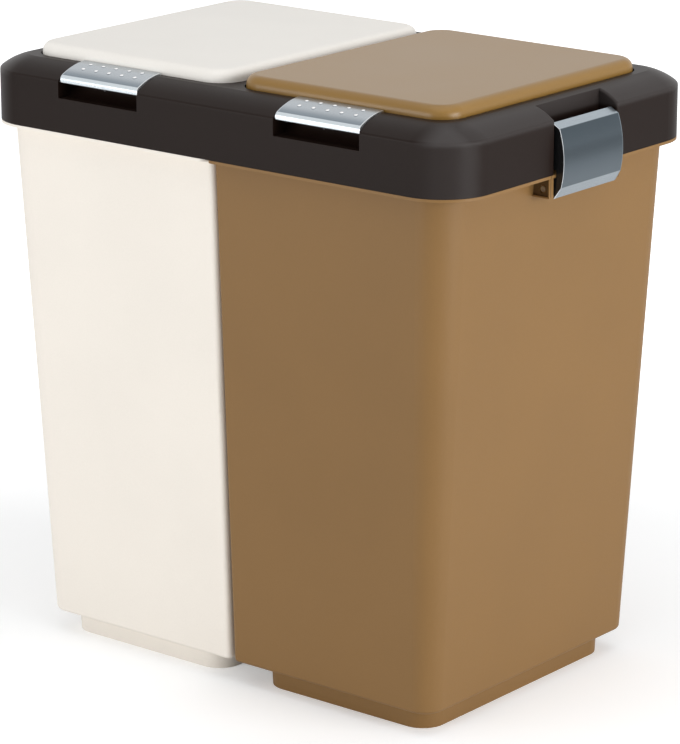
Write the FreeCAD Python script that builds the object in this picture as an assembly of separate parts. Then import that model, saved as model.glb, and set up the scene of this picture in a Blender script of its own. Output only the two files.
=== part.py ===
"""Double recycling bin: two tapered bins under one lid frame with two hinged lids.

Sizes are in millimetres. X runs along the front, Y from the front to the rear, Z up.
The origin is on the floor under the middle of the whole.
"""
import FreeCAD, Part
import math
import os

V = FreeCAD.Vector

# Lid frame
frame_width = 490.0
frame_depth = 327.0
frame_corner = 43.0         # radius of its corners, seen from above
frame_height = 53.5         # from its lower edge to its crest
face_height = 42.5          # upright face below the shoulder
shoulder_width = 24.0       # from the upright face to the crest
shoulder_crown = 1.7        # how far the shoulder bulges above a flat slope
crease_round = 3.0
frame_wall = 2.5
seat_gap = 0.2              # between the bins' rims and the frame

# Bins
bin_height = 445.4
bin_wall = 2.4
bin_floor = 3.0
rim_thickness = 2.4
rim_side_overhang = 16.0    # rim beyond the outer wall
rim_front_overhang = 10.0   # rim beyond the front and rear walls
side_draft = 24.2           # how far the outer wall leans in towards the floor
front_draft = 16.7          # how far the front and rear walls lean in
seam_top = 0.6              # middle plane to the inner wall, under the rim
seam_base = 1.9             # the same, at the foot
rim_seam = 0.15             # middle plane to the rim
wall_corner_top = 28.0
wall_corner_base = 17.0
seam_corner = 5.0           # upright corners at the middle
rim_seam_corner = 8.0
base_round = 3.0            # lower edge of the walls
foot_height = 19.2
foot_side_inset = 11.6      # from the outer wall
foot_front_inset = 13.6     # from the front and rear walls
foot_seam_inset = 19.0      # from the inner wall
foot_corner = 21.0
foot_draft = 1.0

# Lids
lid_corner = 21.0
lid_land = 11.0             # frame between the two lids
lid_front = 32.0            # from the frame's front face to the lid
lid_rear = 35.0             # from the lid to the frame's rear face
lid_side = 31.0             # from the frame's side to the lid
lid_rise = 10.0             # top of the lid above the crest
lid_round = 8.0
lid_wall = 2.4
lid_gap = 1.5               # round the lid in its rebate
rebate_depth = 6.0          # crest to the rebate's floor
lid_lift = 0.5              # lid above the rebate's floor
ledge_width = 9.0           # rebate's floor under the lid's edge
lid_rib = 2.0
lid_rib_height = 7.0

# Collar and ribs that guide the frame into the bins
collar_reach = 6.0          # below the rims
guide_reach = 12.0
guide_thickness = 2.4
guide_clearance = 0.6
guide_side_place = 90.0     # from the middle, on the outer sides
guide_front_place = 62.0    # from the lid's middle, front and rear

# Lid hinges
hinge_behind = 4.4          # axis behind the lid
hinge_above = 2.2           # axis above the crest
hinge_share = 0.294         # of the lid's width, from its middle to each hinge
knuckle_radius = 3.9
knuckle_width = 14.0
ear_width = 5.0
hinge_pin_radius = 1.5
hinge_play = 0.4            # between a knuckle and its ears
hinge_pocket_clearance = 0.8
pin_clearance = 0.05

# Springs
lid_spring_wire = 0.9
lid_spring_radius = 2.9     # to the middle of the wire
lid_spring_turns = 4
button_spring_wire = 0.8
button_spring_radius = 2.7
button_spring_turns = 5
spring_gap = 0.7            # between two turns
spring_play = 0.3           # between a spring and what it touches
spring_leg = 3.0

# Push buttons
button_width = 83.0
button_side = 132.0         # from the frame's side to the button's middle
button_plate = 2.6
button_rear_gap = 1.0       # to the lid
button_proud = 1.4          # rear edge of the plate above the crest
button_front_set = 1.7      # lip behind the frame's front face
button_lip_top = 7.4        # lip's upper corner below the crest
button_arch = 1.8           # how far the plate bulges above a flat slope
button_lip = 5.0
button_lip_round = 4.5
button_edge_round = 0.8
button_web = 2.5
button_web_inset = 2.0
button_web_gap = 0.8        # in front of the pocket's back
button_pivot_back = 12.5    # pivot behind the frame's front face
button_pivot_down = 12.5    # pivot below the crest
button_pin_radius = 1.5
button_boss_radius = 3.4
bump_radius = 1.6
bump_height = 0.5
bump_columns = 5
bump_rows = 2
bump_pitch = 13.9
bump_row_pitch = 9.0
bump_front = 14.5           # front row behind the frame's front face
nose_width = 30.0
nose_height = 2.6
nose_gap = 0.5              # to the lid
nose_lift = 1.5             # nose above the rebate's floor
nose_round = 0.4
keeper_depth = 1.2
keeper_play = 0.5           # groove in the lid round the nose

# Pockets under the buttons
pocket_side_gap = 1.0
pocket_floor_down = 25.0    # below the crest
pocket_depth = 20.4         # behind the frame's front face
pocket_scoop = 12.0         # radius of the concave back

# Side clamps
clamp_middle = 7.0          # behind the middle of the sides
clamp_width_base = 83.0
clamp_low_taper = 2.7       # how much narrower it is at the low bend
clamp_high_taper = 4.0      # the same, at the high bend
clamp_top_taper = 4.7       # the same, at its upper edge
clamp_plate = 3.0
clamp_side = 2.2
clamp_bulge = 7.3           # fullest point beyond the frame's side
clamp_base_reach = 5.3      # low bend beyond the frame's side
clamp_top_reach = 2.6       # high bend beyond the frame's side
clamp_lip = 0.7             # lower edge inside the frame's side
clamp_tip = 4.7             # upper edge inside the frame's side
clamp_base_down = 19.1      # lower edge below the rim's top
clamp_lip_rise = 9.2
clamp_rise = 39.9           # upper edge above the rim's top
clamp_tip_drop = 4.1
clamp_bar = 6.0             # solid edge bars above and below
clamp_rim_gap = 0.6         # round the rim
clamp_rim_room = 15.0       # from the axis to the walls above the rim
clamp_pin_radius = 2.2
clamp_pivot_in = 8.0        # axis inside the frame's side
clamp_pivot_down = 11.5     # axis below the rim's top
clamp_lug_radius = 5.0
clamp_lug_width = 6.0
clamp_lug_place = 13.0      # middle lugs from the clamp's middle
hook_width = 44.0
hook_height = 2.7
hook_up = 31.5              # hook's underside above the rim's top
notch_play = 0.25           # between the notch and the clamp's widest place
notch_depth = 18.0
notch_round = 2.0           # outer edges of the notch's sides
bead_reach = 8.0            # catch bead beyond the notch's back wall
bead_height = 5.5
hook_gap = 0.3              # hook beyond the bead
hook_above_bead = 1.3

# Ears on the bins that hold the clamp pins
bracket_gap = 0.5           # beside the clamp
bracket_width = 5.5
bracket_reach = 15.5        # beyond the bin's wall under the rim
bracket_height = 15.7
bracket_border = 1.2
bracket_recess = 2.0
bracket_hole_radius = 3.3

# Levels and places that follow from the sizes above
rim_under = bin_height - rim_thickness
frame_bottom = bin_height + seat_gap
crease_z = frame_bottom + face_height
crest_z = frame_bottom + frame_height
frame_side = frame_width / 2
frame_front = frame_depth / 2
wall_side = frame_side - rim_side_overhang
wall_front = frame_front - rim_front_overhang
lid_inner = lid_land / 2
lid_outer = frame_side - lid_side
lid_width = lid_outer - lid_inner
lid_middle = lid_inner + lid_width / 2
lid_front_y = -frame_front + lid_front
lid_rear_y = frame_front - lid_rear
lid_top = crest_z + lid_rise
rebate_z = crest_z - rebate_depth
lid_bottom = rebate_z + lid_lift
hinge_place = lid_width * hinge_share
hinge_y = lid_rear_y + hinge_behind
hinge_z = crest_z + hinge_above
button_middle = frame_side - button_side
button_front = -frame_front + button_front_set
button_rear = lid_front_y - button_rear_gap
button_pivot_y = -frame_front + button_pivot_back
button_pivot_z = crest_z - button_pivot_down
pocket_width = button_width + 2 * pocket_side_gap
pocket_floor = crest_z - pocket_floor_down
pocket_back = -frame_front + pocket_depth
clamp_width_low = clamp_width_base - clamp_low_taper
clamp_width_high = clamp_width_base - clamp_high_taper
clamp_width_top = clamp_width_base - clamp_top_taper
notch_width = clamp_width_base + 2 * notch_play
clamp_pivot_x = frame_side - clamp_pivot_in
clamp_pivot_z = bin_height - clamp_pivot_down
clamp_low = bin_height - clamp_base_down
clamp_high = bin_height + clamp_rise
notch_back = frame_side - notch_depth
bead_tip = notch_back + bead_reach
hook_z = bin_height + hook_up


def rounded_wire(corners, place):
    """Closed wire round the corners (a, b, radius); place(a, b) is the point in space."""
    stretches = []
    for i, (a, b, radius) in enumerate(corners):
        corner = V(a, b, 0)
        back = V(*corners[i - 1][:2], 0) - corner
        ahead = V(*corners[(i + 1) % len(corners)][:2], 0) - corner
        half = back.getAngle(ahead) / 2
        back.normalize()
        ahead.normalize()
        reach = radius / math.tan(half)
        inward = (back + ahead).normalize() if radius else V(0, 0, 0)
        middle = corner + inward * (radius / math.sin(half) - radius)
        stretches.append((corner + back * reach, middle, corner + ahead * reach, radius))
    edges = []
    for i, (start, middle, end, radius) in enumerate(stretches):
        following = stretches[(i + 1) % len(stretches)][0]
        points = [place(p.x, p.y) for p in (start, middle, end, following)]
        if radius:
            edges.append(Part.Arc(*points[:3]).toShape())
        if (end - following).Length > 1e-6:
            edges.append(Part.LineSegment(points[2], points[3]).toShape())
    return Part.Wire(edges)


def outline(corners, z):
    """Wire of a rounded outline, lying flat at height z."""
    return rounded_wire(corners, lambda x, y: V(x, y, z))


def plate(corners, low, high):
    """Upright prism on a rounded outline."""
    return Part.Face(outline(corners, low)).extrude(V(0, 0, high - low))


def prism_x(corners, left, right):
    """Prism along X on corners (y, z, radius)."""
    wire = rounded_wire(corners, lambda y, z: V(left, y, z))
    return Part.Face(wire).extrude(V(right - left, 0, 0))


def prism_y(corners, front, rear):
    """Prism along Y on corners (x, z, radius)."""
    wire = rounded_wire(corners, lambda x, z: V(x, front, z))
    return Part.Face(wire).extrude(V(0, rear - front, 0))


def block(left, right, front, rear, low, high):
    """Square block between its six faces."""
    return Part.makeBox(right - left, rear - front, high - low, V(left, front, low))


def rod_x(radius, left, right, y, z):
    """Round rod along X."""
    return Part.makeCylinder(radius, right - left, V(left, y, z), V(1, 0, 0))


def rod_y(radius, front, rear, x, z):
    """Round rod along Y."""
    return Part.makeCylinder(radius, rear - front, V(x, front, z), V(0, 1, 0))


def rectangle(left, right, front, rear, radius, grow=0.0):
    """Corners of a rounded rectangle, grown outwards all round."""
    r = max(radius + grow, 0.5)
    x0, x1 = left - grow, right + grow
    y0, y1 = front - grow, rear + grow
    return [(x0, y0, r), (x1, y0, r), (x1, y1, r), (x0, y1, r)]


def at_clamp(shape):
    """A shape built round the middle plane, moved to the clamp's middle."""
    return shape.translated(V(0, clamp_middle, 0))


def mirrored(shape):
    """The same piece on the other side of the middle plane."""
    return shape.mirror(V(0, 0, 0), V(1, 0, 0))


def fused(shapes):
    """One solid from several that touch or overlap."""
    return shapes[0].multiFuse(shapes[1:]).removeSplitter()


def level_edges(shape, z):
    """Edges of a shape that lie flat at height z."""
    return [e for e in shape.Edges if all(abs(v.Z - z) < 1e-4 for v in e.Vertexes)]


# ---------------------------------------------------------------- bins

def bin_wall_corners(z, inset):
    """Corners of the right bin's wall outline at height z, inset by a wall."""
    share = (z - foot_height) / (rim_under - foot_height)
    inner = seam_base + (seam_top - seam_base) * share + inset
    outer = wall_side - side_draft * (1 - share) - inset
    front = wall_front - front_draft * (1 - share) - inset
    wide = wall_corner_base + (wall_corner_top - wall_corner_base) * share - inset
    tight = max(seam_corner - inset, 0.5)
    return [(inner, -front, tight), (outer, -front, wide), (outer, front, wide), (inner, front, tight)]


def bin_tub(inset, low, high):
    """Tapered solid inside the bin's wall outline."""
    ends = [outline(bin_wall_corners(z, inset), z) for z in (low, high)]
    return Part.makeLoft(ends, True, True)


def bin_foot(inset, low, high):
    """Tapered foot under the right bin, inset by a wall."""
    inner = seam_base + foot_seam_inset
    outer = wall_side - side_draft - foot_side_inset
    front = wall_front - front_draft - foot_front_inset
    ends = []
    for z in (low, high):
        grow = -inset - foot_draft * (1 - z / foot_height)
        ends.append(outline(rectangle(inner, outer, -front, front, foot_corner, grow), z))
    return Part.makeLoft(ends, True, True)


def clamp_bracket(rear):
    """Ear beside the clamp that holds one end of its pin; rear is 1 behind, -1 in front."""
    near = clamp_width_base / 2 + bracket_gap
    far = near + bracket_width
    foot = wall_side - bracket_height
    tip = wall_side + bracket_reach
    low = rim_under - bracket_height
    ear = block(foot, tip, near, far, low, rim_under)
    face = far - bracket_recess
    ear = ear.cut(block(foot, tip - bracket_border, face, far, low + bracket_border, rim_under))
    ear = ear.cut(rod_y(clamp_pin_radius + pin_clearance, near - 1, far, clamp_pivot_x, clamp_pivot_z))
    ear = ear.cut(rod_y(bracket_hole_radius, face - bracket_recess / 2, far, clamp_pivot_x, clamp_pivot_z))
    return at_clamp(ear if rear > 0 else ear.mirror(V(0, 0, 0), V(0, 1, 0)))


def make_bin():
    """Right bin: drafted tub with a rim, two clamp brackets and a stepped foot."""
    tub = bin_tub(0.0, foot_height, bin_height)
    tub = tub.makeFillet(base_round, level_edges(tub, foot_height))
    rim = [
        (rim_seam, -frame_front, rim_seam_corner),
        (frame_side, -frame_front, frame_corner),
        (frame_side, frame_front, frame_corner),
        (rim_seam, frame_front, rim_seam_corner),
    ]
    body = fused([
        tub,
        plate(rim, rim_under, bin_height),
        bin_foot(0.0, 0.0, foot_height),
        clamp_bracket(1),
        clamp_bracket(-1),
    ])
    body = body.cut(bin_tub(bin_wall, foot_height + bin_floor, bin_height + 1))
    return body.cut(bin_foot(bin_wall, bin_floor, foot_height + bin_floor + 1))


def make_clamp_pin():
    """Pin through both brackets and the right clamp."""
    reach = clamp_width_base / 2 + bracket_gap + bracket_width - bracket_recess - bracket_recess / 2
    return at_clamp(rod_y(clamp_pin_radius, -reach - 0.8, reach + 0.8, clamp_pivot_x, clamp_pivot_z))


# ---------------------------------------------------------------- lid frame

def frame_form(inset, low):
    """The frame's outer form filled solid, with every face moved inwards by inset."""
    chord = math.hypot(shoulder_width, crest_z - crease_z)
    crown = chord ** 2 / (8 * shoulder_crown) + shoulder_crown / 2
    drop = crown - shoulder_crown
    middle_u = shoulder_width / 2 + (crest_z - crease_z) / chord * drop
    middle_z = (crest_z + crease_z) / 2 - shoulder_width / chord * drop
    radius = crown - inset
    top = crest_z - inset
    crease = middle_z + math.sqrt(radius ** 2 - (middle_u - inset) ** 2)
    land = middle_u - math.sqrt(radius ** 2 - (top - middle_z) ** 2)
    low_angle = math.atan2(crease - middle_z, inset - middle_u)
    angle = (low_angle + math.atan2(top - middle_z, land - middle_u)) / 2
    bulge = (middle_u + radius * math.cos(angle), middle_z + radius * math.sin(angle))

    def profile(place):
        points = [(inset, low), (inset, crease), bulge, (land, top), (frame_corner, top), (frame_corner, low)]
        p = [place(u, z) for u, z in points]
        lines = [(p[0], p[1]), (p[3], p[4]), (p[4], p[5]), (p[5], p[0])]
        edges = [Part.LineSegment(a, b).toShape() for a, b in lines]
        edges.insert(1, Part.Arc(p[1], p[2], p[3]).toShape())
        return Part.Face(Part.Wire(edges))

    run_x = frame_side - frame_corner
    run_y = frame_front - frame_corner
    side = profile(lambda u, z: V(frame_side - u, -run_y, z)).extrude(V(0, 2 * run_y, 0))
    front = profile(lambda u, z: V(-run_x, -frame_front + u, z)).extrude(V(2 * run_x, 0, 0))
    corner_face = profile(lambda u, z: V(frame_side - u, run_y, z))
    corner = corner_face.revolve(V(run_x, run_y, 0), V(0, 0, 1), 90)
    right_corners = [corner, corner.mirror(V(0, 0, 0), V(0, 1, 0))]
    pieces = [block(-run_x, run_x, -run_y, run_y, low, top), front, front.mirror(V(0, 0, 0), V(0, 1, 0))]
    for piece in [side] + right_corners:
        pieces += [piece, mirrored(piece)]
    return fused(pieces)


def lid_outline(grow):
    """Corners of the right lid's outline, grown outwards."""
    return rectangle(lid_inner, lid_outer, lid_front_y, lid_rear_y, lid_corner, grow)


def guide_ribs():
    """Upright ribs on the right collar that centre the frame in the bin's mouth."""
    mouth = bin_wall_corners(bin_height - guide_reach, bin_wall + guide_clearance)
    mouth_side = mouth[1][0]
    mouth_front = mouth[2][1]
    collar = ledge_width - frame_wall
    low = bin_height - guide_reach
    half = guide_thickness / 2
    ribs = []
    for y in (-guide_side_place, guide_side_place):
        ribs.append(block(lid_outer - collar - 1, mouth_side, y - half, y + half, low, rebate_z))
    for x in (lid_middle - guide_front_place, lid_middle + guide_front_place):
        ribs.append(block(x - half, x + half, -mouth_front, lid_front_y + collar + 1, low, rebate_z))
        ribs.append(block(x - half, x + half, lid_rear_y - collar - 1, mouth_front, low, rebate_z))
    return ribs


def hinge_spans():
    """For both hinges of the right lid: frame ears, lid knuckle and spring, along X."""
    spring_length = lid_spring_turns * (lid_spring_wire + spring_gap) + lid_spring_wire
    spans = {}
    for name, place, spring in (("outer", hinge_place, 0.0), ("inner", -hinge_place, 1.0)):
        room = hinge_play + spring * (spring_length + 2 * spring_play - hinge_play)
        knuckle = (lid_middle + place - knuckle_width / 2, lid_middle + place + knuckle_width / 2)
        left_ear = (knuckle[0] - room - ear_width, knuckle[0] - room)
        right_ear = (knuckle[1] + hinge_play, knuckle[1] + hinge_play + ear_width)
        spans[name] = (left_ear, knuckle, right_ear)
    return spans


def hinge_ear(span):
    """Frame ear round the lid's hinge pin."""
    front = lid_rear_y + lid_gap
    low = crest_z - rebate_depth
    foot = block(*span, front, hinge_y + knuckle_radius, low, hinge_z)
    return foot.fuse(rod_x(knuckle_radius, *span, hinge_y, hinge_z))


def button_pocket():
    """Hollow under the right button, with a concave back."""
    half = pocket_width / 2
    front = -frame_front - 1
    corners = [
        (front, pocket_floor, 0),
        (pocket_back, pocket_floor, pocket_scoop),
        (pocket_back, rebate_z, 0),
        (lid_front_y - lid_gap / 2, rebate_z, 0),
        (lid_front_y - lid_gap / 2, crest_z + 1, 0),
        (front, crest_z + 1, 0),
    ]
    return prism_x(corners, button_middle - half, button_middle + half)


def catch_bead():
    """Bead on the back of the right notch that the clamp's hook pulls down."""
    half = hook_width / 2 + 2
    top = hook_z - hook_above_bead
    corners = [
        (notch_back - 1, top - bead_height - bead_reach, 0),
        (bead_tip, top - bead_height, 1),
        (bead_tip, top, 1),
        (notch_back - 1, top, 0),
    ]
    return at_clamp(prism_y(corners, -half, half))


def notched_form():
    """The frame's outer form with the clamps' notches, all outer edges rounded."""
    form = frame_form(0.0, frame_bottom)
    form = form.makeFillet(crease_round, level_edges(form, crease_z))
    half = notch_width / 2
    notch = at_clamp(block(notch_back, frame_side + 1, -half, half, frame_bottom - 1, crest_z + 1))
    form = form.cut(Part.makeCompound([notch, mirrored(notch)]))
    edges = []
    for edge in form.Edges:
        points = [v.Point for v in edge.Vertexes]
        beside = all(abs(abs(p.y - clamp_middle) - half) < 1e-4 for p in points)
        outer = any(abs(p.x) > notch_back + 1e-4 and p.z > frame_bottom + 1e-4 for p in points)
        if beside and outer:
            edges.append(edge)
    return form.makeFillet(notch_round, edges)


def make_lid_frame():
    """Lid frame: hollow shouldered rim with two rebated mouths, pockets, notches and ears."""
    form = notched_form()
    shell = form.cut(frame_form(frame_wall, frame_bottom - 1))
    walls = []
    walls.append(plate(lid_outline(lid_gap + frame_wall), rebate_z - frame_wall, crest_z))
    walls.append(plate(lid_outline(frame_wall - ledge_width), bin_height - collar_reach, rebate_z))
    walls += guide_ribs()
    pocket_half = pocket_width / 2 + frame_wall
    walls.append(block(
        button_middle - pocket_half, button_middle + pocket_half,
        -frame_front, lid_front_y - lid_gap, pocket_floor - frame_wall, crest_z,
    ))
    notch_half = notch_width / 2 + frame_wall
    walls.append(at_clamp(block(
        notch_back - frame_wall, frame_side, -notch_half, notch_half, frame_bottom, crest_z,
    )))
    hinges = hinge_spans()
    for left_ear, _, right_ear in hinges.values():
        walls.append(block(
            left_ear[0] - frame_wall, right_ear[1] + frame_wall,
            lid_rear_y + lid_gap, hinge_y + knuckle_radius + 2 * frame_wall,
            crest_z - rebate_depth - frame_wall, crest_z,
        ))
    web = lid_inner - lid_gap - frame_wall
    middle = block(-web, web, -frame_front, frame_front, frame_bottom, crest_z)
    inside = [w.common(form) if w.BoundBox.ZMin >= frame_bottom - 1e-6 else w for w in walls]
    frame = fused([shell, middle.common(form)] + inside + [mirrored(w) for w in inside])
    cuts = [
        plate(lid_outline(lid_gap), rebate_z, crest_z + 1),
        plate(lid_outline(-ledge_width), frame_bottom - collar_reach - guide_reach, crest_z),
        button_pocket(),
    ]
    for left_ear, _, right_ear in hinges.values():
        cuts.append(block(
            left_ear[0], right_ear[1], lid_rear_y, hinge_y + knuckle_radius + hinge_pocket_clearance,
            hinge_z - knuckle_radius - hinge_pocket_clearance, crest_z + 1,
        ))
    frame = frame.cut(Part.makeCompound(cuts + [mirrored(c) for c in cuts]))
    ears = [catch_bead()]
    for left_ear, _, right_ear in hinges.values():
        ears += [hinge_ear(left_ear), hinge_ear(right_ear)]
    frame = fused([frame] + ears + [mirrored(e) for e in ears])
    holes = []
    for left_ear, _, right_ear in hinges.values():
        holes.append(rod_x(hinge_pin_radius + pin_clearance, left_ear[0], right_ear[1], hinge_y, hinge_z))
    holes.append(rod_x(
        button_pin_radius + pin_clearance,
        button_middle - pocket_half, button_middle + pocket_half, button_pivot_y, button_pivot_z,
    ))
    return frame.cut(Part.makeCompound(holes + [mirrored(h) for h in holes]))


# ---------------------------------------------------------------- lids and hinges

def make_lid():
    """Right lid: shallow rounded cap with stiffening ribs and two hinge knuckles."""
    cap = plate(lid_outline(0.0), lid_bottom, lid_top)
    cap = cap.makeFillet(lid_round, level_edges(cap, lid_top))
    hollow = plate(lid_outline(-lid_wall), lid_bottom - 1, lid_top - lid_wall)
    hollow = hollow.makeFillet(lid_round - lid_wall, level_edges(hollow, lid_top - lid_wall))
    cap = cap.cut(hollow)
    under = lid_top - lid_wall
    inside = plate(lid_outline(-lid_wall / 2), under - lid_rib_height, lid_top - lid_wall / 2)
    inside = inside.makeFillet(lid_round - lid_wall / 2, level_edges(inside, lid_top - lid_wall / 2))
    half = lid_rib / 2
    ribs = [block(lid_inner, lid_outer, -half, half, under - lid_rib_height, lid_top)]
    for x in (lid_middle - hinge_place, lid_middle + hinge_place):
        ribs.append(block(x - half, x + half, lid_front_y, lid_rear_y, under - lid_rib_height, lid_top))
    pieces = [cap] + [rib.common(inside) for rib in ribs]
    for _, knuckle, _ in hinge_spans().values():
        arm = block(
            *knuckle, lid_rear_y - lid_wall, hinge_y,
            hinge_z - knuckle_radius, hinge_z + knuckle_radius - lid_wall / 2,
        )
        pieces += [arm, rod_x(knuckle_radius, *knuckle, hinge_y, hinge_z)]
    lid = fused(pieces)
    for left_ear, _, right_ear in hinge_spans().values():
        lid = lid.cut(rod_x(hinge_pin_radius + pin_clearance, left_ear[0], right_ear[1], hinge_y, hinge_z))
    half = nose_width / 2 + 2 * keeper_play
    low = rebate_z + nose_lift - keeper_play
    keeper = block(
        button_middle - half, button_middle + half, lid_front_y - 1, lid_front_y + keeper_depth,
        low, low + nose_height + 2 * keeper_play,
    )
    return lid.cut(keeper)


def make_hinge_pin(name):
    """Pin of one hinge of the right lid."""
    left_ear, _, right_ear = hinge_spans()[name]
    return rod_x(hinge_pin_radius, left_ear[0], right_ear[1], hinge_y, hinge_z)


def bent_wire(start, start_way, end, end_way):
    """Two arcs that join two points smoothly, leaving and arriving along given ways."""
    span = end - start
    ways = start_way + end_way
    spread = 2 * (1 - start_way.dot(end_way))
    reach = (math.sqrt(span.dot(ways) ** 2 + spread * span.dot(span)) - span.dot(ways)) / spread
    meet = (start + start_way * reach + end - end_way * reach) * 0.5
    arcs = []
    for a, b, peak in ((start, meet, start + start_way * reach), (meet, end, end - end_way * reach)):
        chord_middle = (a + b) * 0.5
        share = 1 + (a - chord_middle).Length / (a - peak).Length
        arcs.append(Part.Arc(a, peak + (chord_middle - peak) * (1 / share), b).toShape())
    return arcs


def make_coil(left, y, z, radius, wire, turns, leg):
    """Spring wound about a line along X, with a straight leg that points down at its start."""
    pitch = wire + spring_gap

    def place(quarter):
        angle = quarter * math.pi / 2
        x = left + wire / 2 + pitch * quarter / 4
        return V(x, y - radius * math.cos(angle), z + radius * math.sin(angle))

    def way(quarter):
        angle = quarter * math.pi / 2
        rise = pitch / (2 * math.pi * radius)
        return V(rise, math.sin(angle), math.cos(angle)).normalize()

    foot = place(0) - way(0) * leg
    edges = [Part.LineSegment(foot, place(0)).toShape()]
    for quarter in range(4 * turns):
        edges += bent_wire(place(quarter), way(quarter), place(quarter + 1), way(quarter + 1))
    ring = Part.Wire(Part.makeCircle(wire / 2, foot, way(0)))
    return Part.Wire(edges).makePipeShell([ring], True, False)


def make_lid_spring():
    """Torsion spring beside the inner knuckle of the right lid."""
    left_ear, _, _ = hinge_spans()["inner"]
    start = left_ear[1] + spring_play
    return make_coil(
        start, hinge_y, hinge_z, lid_spring_radius, lid_spring_wire, lid_spring_turns,
        knuckle_radius + hinge_pocket_clearance - spring_play - lid_spring_wire / 2,
    )


# ---------------------------------------------------------------- push buttons

def button_circle():
    """Axis (y, z) and radius of the button's arched upper face."""
    rear = V(0, button_rear, crest_z + button_proud)
    front = V(0, button_front, crest_z - button_lip_top)
    chord = rear - front
    radius = chord.Length ** 2 / (8 * button_arch) + button_arch / 2
    up = V(0, -chord.z, chord.y).normalize()
    axis = (rear + front) * 0.5 - up * (radius - button_arch)
    return axis.y, axis.z, radius


def shell_line(y):
    """Height of the button's upper face at depth y."""
    axis_y, axis_z, radius = button_circle()
    return axis_z + math.sqrt(radius ** 2 - (y - axis_y) ** 2)


def button_shell():
    """Arched plate of the right button with its turned-down lip."""
    left = button_middle - button_width / 2
    right = button_middle + button_width / 2
    axis_y, axis_z, radius = button_circle()
    low = crest_z - button_lip_top - button_lip
    high = axis_z + radius + 1
    form = rod_x(radius, left, right, axis_y, axis_z)
    form = form.common(block(left, right, button_front, button_rear, low, high))
    form = form.makeFillet(button_lip_round, level_edges(form, shell_line(button_front)))
    inner = radius - button_plate
    inner_front = button_front + button_plate
    bend = axis_z + math.sqrt(inner ** 2 - (inner_front - axis_y) ** 2)
    room = rod_x(inner, left - 1, right + 1, axis_y, axis_z)
    room = room.common(block(left - 1, right + 1, inner_front, button_rear + 1, low - 1, high))
    room = room.makeFillet(button_lip_round - button_plate, level_edges(room, bend))
    shell = form.cut(room)
    return shell.makeFillet(button_edge_round, level_edges(shell, low))


def make_button():
    """Right button: arched plate with a turned-down lip, webs, a latch nose and raised bumps."""
    half = button_width / 2
    pieces = [button_shell()]
    web_rear = pocket_back - button_web_gap
    web_front = button_front + button_plate
    web_corners = [
        (web_rear, shell_line(web_rear) - button_plate / 2, 0),
        (web_front, shell_line(web_front) - button_lip_round, 0),
        (button_pivot_y - button_boss_radius, button_pivot_z, 0),
        (button_pivot_y + button_boss_radius, button_pivot_z, 0),
    ]
    web_lefts = [
        button_middle - half + button_web_inset,
        button_middle - button_web,
        button_middle + half - button_web_inset - button_web,
    ]
    for left in web_lefts:
        right = left + button_web
        pieces.append(prism_x(web_corners, left, right))
        pieces.append(rod_x(button_boss_radius, left, right, button_pivot_y, button_pivot_z))
    nose_low = rebate_z + nose_lift
    nose_high = shell_line(button_rear) - button_plate / 2
    nose = [
        (button_rear - 3 * button_rear_gap, nose_low, 0),
        (lid_front_y - nose_gap, nose_low, nose_round),
        (lid_front_y - nose_gap, nose_low + nose_height / 2, nose_round),
        (button_rear - 2 * button_rear_gap, nose_high, 0),
        (button_rear - 3 * button_rear_gap, nose_high, 0),
    ]
    pieces.append(prism_x(nose, button_middle - nose_width / 2, button_middle + nose_width / 2))
    button = fused(pieces + bumps())
    return button.cut(rod_x(
        button_pin_radius + pin_clearance,
        button_middle - half, button_middle + half, button_pivot_y, button_pivot_z,
    ))


def bumps():
    """Shallow domes on the button's upper face."""
    ball = (bump_radius ** 2 + bump_height ** 2) / (2 * bump_height)
    axis_y, axis_z, _ = button_circle()
    domes = []
    for row in range(bump_rows):
        y = -frame_front + bump_front + row * bump_row_pitch
        up = V(0, y - axis_y, shell_line(y) - axis_z).normalize()
        for column in range(bump_columns):
            x = button_middle + (column - (bump_columns - 1) / 2) * bump_pitch
            crown = V(x, y, shell_line(y))
            dome = Part.makeSphere(ball, crown + up * (bump_height - ball))
            disc = Part.makeCylinder(bump_radius, 2 * bump_height, crown - up * bump_height, up)
            domes.append(dome.common(disc))
    return domes


def make_button_pin():
    """Pivot pin of the right button, held in the pocket's side walls."""
    half = pocket_width / 2 + frame_wall
    return rod_x(
        button_pin_radius, button_middle - half, button_middle + half, button_pivot_y, button_pivot_z,
    )


def make_button_spring():
    """Return spring on the right button's pin."""
    return make_coil(
        button_middle + spring_play, button_pivot_y, button_pivot_z,
        button_spring_radius, button_spring_wire, button_spring_turns, spring_leg,
    )


# ---------------------------------------------------------------- side clamps

def clamp_face(shift):
    """Prism along Y of the right clamp's bulging section, moved inwards by shift."""
    lip = V(frame_side - clamp_lip - shift, 0, clamp_low)
    low_bend = V(frame_side + clamp_base_reach - shift, 0, clamp_low + clamp_lip_rise)
    bulge = V(frame_side + clamp_bulge - shift, 0, (clamp_low + clamp_high + clamp_tip_drop) / 2)
    high_bend = V(frame_side + clamp_top_reach - shift, 0, clamp_high - clamp_tip_drop)
    tip = V(frame_side - clamp_tip - shift, 0, clamp_high)
    edges = [
        Part.LineSegment(lip, low_bend).toShape(),
        Part.Arc(low_bend, bulge, high_bend).toShape(),
        Part.LineSegment(high_bend, tip).toShape(),
        Part.LineSegment(tip, lip).toShape(),
    ]
    face = Part.Face(Part.Wire(edges))
    face.translate(V(0, -clamp_width_base, 0))
    return face.extrude(V(0, 2 * clamp_width_base, 0))


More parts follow.
